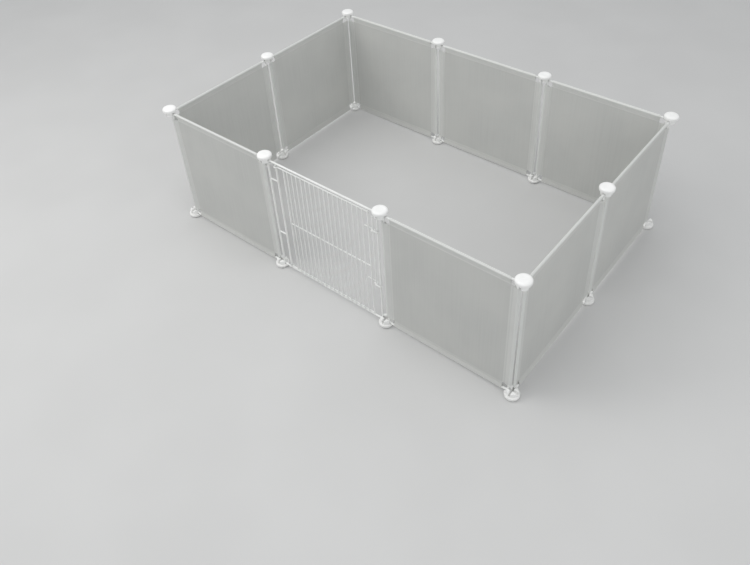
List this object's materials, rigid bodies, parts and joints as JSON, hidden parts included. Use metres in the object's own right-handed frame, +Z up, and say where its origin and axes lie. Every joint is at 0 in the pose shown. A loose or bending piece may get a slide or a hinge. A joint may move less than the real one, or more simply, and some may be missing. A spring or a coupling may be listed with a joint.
{
  "type": "pet playpen",
  "caption": "Rectangular pet playpen of square frosted plastic panels and a hinged wire gate, clipped together by round slotted connectors.",
  "frame": {"origin": "middle of the pen on the floor plane that the bottom connectors stand on", "axes": "+X along the pen's long side, to the right as seen from the gate; +Y from the gate side to the back; +Z up"},
  "size_m": [1.132, 0.767, 0.3735],
  "materials": {
    "frame_wire": "white powder coat, satin",
    "frosted_sheet": "frosted translucent polypropylene sheet, fine matt grain",
    "connector_plastic": "white moulded plastic, soft gloss",
    "gate_wire": "white powder coat over welded wire, satin"
  },
  "bodies": {
    "root": {"panel_frame_front_left": "frame_wire", "panel_frame_front_right": "frame_wire", "panel_frame_right_front": "frame_wire", "panel_frame_right_back": "frame_wire", "panel_frame_back_right": "frame_wire", "panel_frame_back_middle": "frame_wire", "panel_frame_back_left": "frame_wire", "panel_frame_left_back": "frame_wire", "panel_frame_left_front": "frame_wire", "panel_sheet_front_left": "frosted_sheet", "panel_sheet_front_right": "frosted_sheet", "panel_sheet_right_front": "frosted_sheet", "panel_sheet_right_back": "frosted_sheet", "panel_sheet_back_right": "frosted_sheet", "panel_sheet_back_middle": "frosted_sheet", "panel_sheet_back_left": "frosted_sheet", "panel_sheet_left_back": "frosted_sheet", "panel_sheet_left_front": "frosted_sheet", "connector_top_front_left": "connector_plastic", "connector_top_gate_left": "connector_plastic", "connector_top_gate_right": "connector_plastic", "connector_top_front_right": "connector_plastic", "connector_top_side_right": "connector_plastic", "connector_top_back_right": "connector_plastic", "connector_top_back_inner_right": "connector_plastic", "connector_top_back_inner_left": "connector_plastic", "connector_top_back_left": "connector_plastic", "connector_top_side_left": "connector_plastic", "connector_bottom_front_left": "connector_plastic", "connector_bottom_gate_left": "connector_plastic", "connector_bottom_gate_right": "connector_plastic", "connector_bottom_front_right": "connector_plastic", "connector_bottom_side_right": "connector_plastic", "connector_bottom_back_right": "connector_plastic", "connector_bottom_back_inner_right": "connector_plastic", "connector_bottom_back_inner_left": "connector_plastic", "connector_bottom_back_left": "connector_plastic", "connector_bottom_side_left": "connector_plastic", "gate_frame": "gate_wire", "gate_jamb": "gate_wire", "gate_tie_upper": "gate_wire", "gate_tie_lower": "gate_wire"},
    "door": {"door_frame": "gate_wire", "door_mid_rail": "gate_wire", "door_bars": "gate_wire", "latch_guide_upper": "gate_wire", "latch_guide_lower": "gate_wire"},
    "latch": {"latch_rod": "gate_wire", "latch_hook_upper": "gate_wire", "latch_hook_lower": "gate_wire"}
  },
  "joints": [
    {"name": "door_hinge", "type": "hinge", "parent": "root", "child": "door", "pos_m": [-0.1455, -0.365, 0.1826], "axis": [0, 0, -1], "range_deg": [0, 140]},
    {"name": "latch_turn", "type": "hinge", "parent": "door", "child": "latch", "pos_m": [0.1585, -0.365, 0.2285], "axis": [0, 0, -1], "range_deg": [0, 135]}
  ]
}
